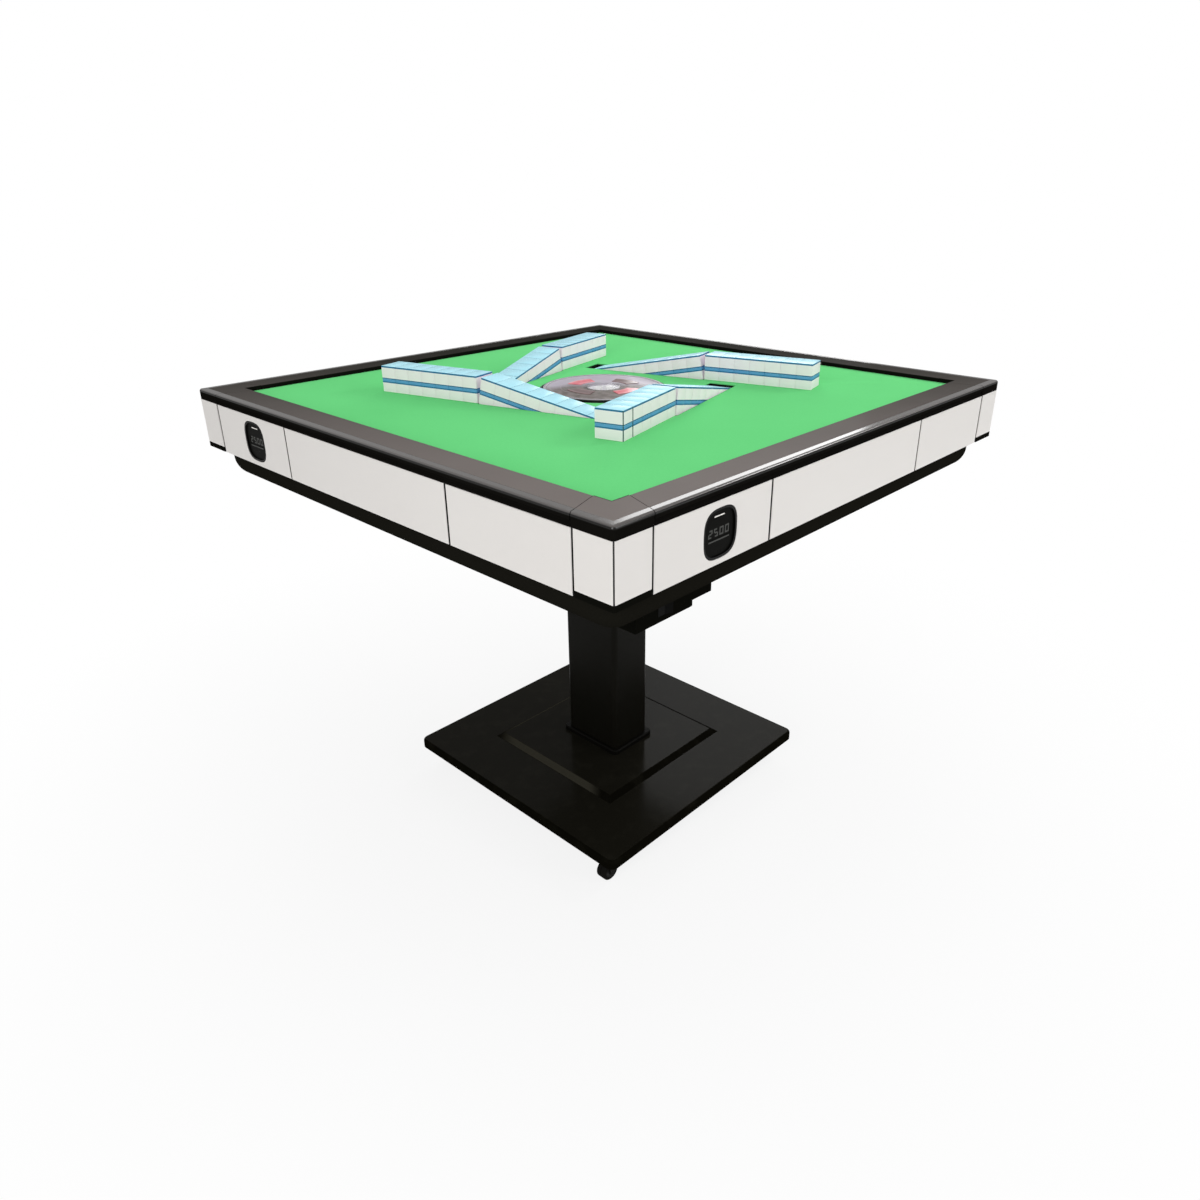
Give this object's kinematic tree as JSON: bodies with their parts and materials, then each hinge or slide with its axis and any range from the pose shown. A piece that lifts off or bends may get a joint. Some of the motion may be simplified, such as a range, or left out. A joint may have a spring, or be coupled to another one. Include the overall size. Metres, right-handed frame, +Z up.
{
  "type": "automatic mahjong table",
  "caption": "Square automatic game table on a central column: recessed cloth top, rising centre console, hinged tile ramps and a pull-out drawer in each side.",
  "frame": {"origin": "centre of the square table on the floor", "axes": "+Z up; the front side faces -Y and the right side +X; each side is the front turned by a quarter turn"},
  "size_m": [0.97, 0.97, 0.811],
  "materials": {
    "base_black": "gloss",
    "column_black": "satin",
    "trim_black": "satin",
    "zinc_steel": "zinc plated",
    "caster_steel": "satin",
    "wheel_black": "matte",
    "tray_black": "fine texture",
    "frame_alu": "mill finish",
    "deck_board": "raw board",
    "cloth_green": "short felt",
    "rim_grey": "satin",
    "panel_white": "satin lacquer",
    "pod_black": "gloss",
    "drawer_black": "fine texture",
    "runner_steel": "zinc plated",
    "tile_ivory": "polished",
    "ramp_black": "satin",
    "console_black": "satin",
    "cover_smoke": "clear smoked acrylic",
    "ring_silver": "metallic",
    "dome_clear": "clear acrylic",
    "dice_plate_grey": "satin",
    "dice_white": "polished",
    "key_red": "translucent",
    "key_smoke": "translucent",
    "lift_steel": "ground",
    "drive_cast": "cast",
    "motor_black": "satin",
    "drum_grey": "satin",
    "power_black": "fine texture",
    "rocker_black": "gloss"
  },
  "bodies": {
    "table": {"base_plate": "base_black", "column": "column_black", "column_collar": "trim_black", "column_bolts": "zinc_steel", "caster_plates": "zinc_steel", "chassis_tray": "tray_black", "top_frame": "frame_alu", "table_deck": "deck_board", "playing_cloth": "cloth_green", "rim_sides": "rim_grey", "rim_corners": "rim_grey", "corner_posts": "trim_black", "corner_caps": "panel_white", "pod_panels": "panel_white", "middle_panels": "panel_white", "pod_housings": "pod_black", "pod_faces": "pod_black", "drawer_runners": "runner_steel", "well_ring": "console_black", "level_tiles": "tile_ivory", "lift_drive": "drive_cast", "drum_motor": "motor_black", "power_box": "power_black"},
    "console": {"console_housing": "console_black", "console_cover": "cover_smoke", "console_ring": "ring_silver", "dice_dome": "dome_clear", "lift_tube": "lift_steel"},
    "dice_turntable": {"dice_plate": "dice_plate_grey", "dice": "dice_white"},
    "shuffle_drum": {"shuffle_drum": "drum_grey"},
    "rocker": {"rocker_switch": "rocker_black"},
    "drawer_front": {"drawer_front_front": "panel_white", "drawer_box_front": "drawer_black"},
    "key_front": {"console_key_front": "key_red"},
    "ramp_front": {"tile_ramp_front": "ramp_black", "ramp_tiles_front": "tile_ivory"},
    "caster_front": {"caster_fork_front": "caster_steel"},
    "wheel_front": {"caster_wheel_front": "wheel_black"},
    "drawer_right": {"drawer_front_right": "panel_white", "drawer_box_right": "drawer_black"},
    "key_right": {"console_key_right": "key_smoke"},
    "ramp_right": {"tile_ramp_right": "ramp_black", "ramp_tiles_right": "tile_ivory"},
    "caster_right": {"caster_fork_right": "caster_steel"},
    "wheel_right": {"caster_wheel_right": "wheel_black"},
    "drawer_back": {"drawer_front_back": "panel_white", "drawer_box_back": "drawer_black"},
    "key_back": {"console_key_back": "key_red"},
    "ramp_back": {"tile_ramp_back": "ramp_black", "ramp_tiles_back": "tile_ivory"},
    "caster_back": {"caster_fork_back": "caster_steel"},
    "wheel_back": {"caster_wheel_back": "wheel_black"},
    "drawer_left": {"drawer_front_left": "panel_white", "drawer_box_left": "drawer_black"},
    "key_left": {"console_key_left": "key_smoke"},
    "ramp_left": {"tile_ramp_left": "ramp_black", "ramp_tiles_left": "tile_ivory"},
    "caster_left": {"caster_fork_left": "caster_steel"},
    "wheel_left": {"caster_wheel_left": "wheel_black"}
  },
  "joints": [
    {"name": "console_lift", "type": "slide", "parent": "table", "child": "console", "axis": [0, 0, 1], "range_m": [0, 0.08]},
    {"name": "dice_turntable_spin", "type": "hinge", "parent": "console", "child": "dice_turntable", "pos_m": [0, 0, 0.76], "axis": [0, 0, 1], "continuous": true},
    {"name": "drum_spin", "type": "hinge", "parent": "table", "child": "shuffle_drum", "pos_m": [0, 0, 0.65], "axis": [0, 0, 1], "continuous": true},
    {"name": "power_rocker", "type": "hinge", "parent": "table", "child": "rocker", "pos_m": [-0.33, -0.42, 0.6075], "axis": [0, 0, 1], "range_deg": [0, 20]},
    {"name": "drawer_front_slide", "type": "slide", "parent": "table", "child": "drawer_front", "axis": [0, -1, 0], "range_m": [0, 0.15]},
    {"name": "key_front_press", "type": "slide", "parent": "console", "child": "key_front", "axis": [0, 0, -1], "range_m": [0, 0.0015], "stiffness_N_per_m": 600, "springref_m": -0.001},
    {"name": "ramp_front_raise", "type": "hinge", "parent": "table", "child": "ramp_front", "pos_m": [-0.07133, -0.19356, 0.761], "axis": [0.2588, -0.9659, 0], "range_deg": [0, 11.3]},
    {"name": "caster_front_swivel", "type": "hinge", "parent": "table", "child": "caster_front", "pos_m": [-0.236, -0.236, 0.04], "axis": [0, 0, 1], "continuous": true},
    {"name": "wheel_front_roll", "type": "hinge", "parent": "caster_front", "child": "wheel_front", "pos_m": [-0.247, -0.236, 0.017], "axis": [0, 1, 0], "continuous": true},
    {"name": "drawer_right_slide", "type": "slide", "parent": "table", "child": "drawer_right", "axis": [1, 0, 0], "range_m": [0, 0.15]},
    {"name": "key_right_press", "type": "slide", "parent": "console", "child": "key_right", "axis": [0, 0, -1], "range_m": [0, 0.0015], "stiffness_N_per_m": 600, "springref_m": -0.001},
    {"name": "ramp_right_raise", "type": "hinge", "parent": "table", "child": "ramp_right", "pos_m": [0.19485, -0.07616, 0.761], "axis": [0.9659, 0.2588, 0], "range_deg": [0, 11.3]},
    {"name": "caster_right_swivel", "type": "hinge", "parent": "table", "child": "caster_right", "pos_m": [0.236, -0.236, 0.04], "axis": [0, 0, 1], "continuous": true},
    {"name": "wheel_right_roll", "type": "hinge", "parent": "caster_right", "child": "wheel_right", "pos_m": [0.236, -0.225, 0.017], "axis": [1, 0, 0], "continuous": true},
    {"name": "drawer_back_slide", "type": "slide", "parent": "table", "child": "drawer_back", "axis": [0, 1, 0], "range_m": [0, 0.15]},
    {"name": "key_back_press", "type": "slide", "parent": "console", "child": "key_back", "axis": [0, 0, -1], "range_m": [0, 0.0015], "stiffness_N_per_m": 600, "springref_m": -0.001},
    {"name": "ramp_back_raise", "type": "hinge", "parent": "table", "child": "ramp_back", "pos_m": [0.05685, 0.18968, 0.761], "axis": [-0.2588, 0.9659, 0], "range_deg": [0, 11.3]},
    {"name": "caster_back_swivel", "type": "hinge", "parent": "table", "child": "caster_back", "pos_m": [0.236, 0.236, 0.04], "axis": [0, 0, 1], "continuous": true},
    {"name": "wheel_back_roll", "type": "hinge", "parent": "caster_back", "child": "wheel_back", "pos_m": [0.225, 0.236, 0.017], "axis": [0, 1, 0], "continuous": true},
    {"name": "drawer_left_slide", "type": "slide", "parent": "table", "child": "drawer_left", "axis": [-1, 0, 0], "range_m": [0, 0.15]},
    {"name": "key_left_press", "type": "slide", "parent": "console", "child": "key_left", "axis": [0, 0, -1], "range_m": [0, 0.0015], "stiffness_N_per_m": 600, "springref_m": -0.001},
    {"name": "ramp_left_raise", "type": "hinge", "parent": "table", "child": "ramp_left", "pos_m": [-0.19511, 0.07713, 0.761], "axis": [-0.9659, -0.2588, 0], "range_deg": [0, 11.3]},
    {"name": "caster_left_swivel", "type": "hinge", "parent": "table", "child": "caster_left", "pos_m": [-0.236, 0.236, 0.04], "axis": [0, 0, 1], "continuous": true},
    {"name": "wheel_left_roll", "type": "hinge", "parent": "caster_left", "child": "wheel_left", "pos_m": [-0.225, 0.236, 0.017], "axis": [0, 1, 0], "continuous": true}
  ]
}
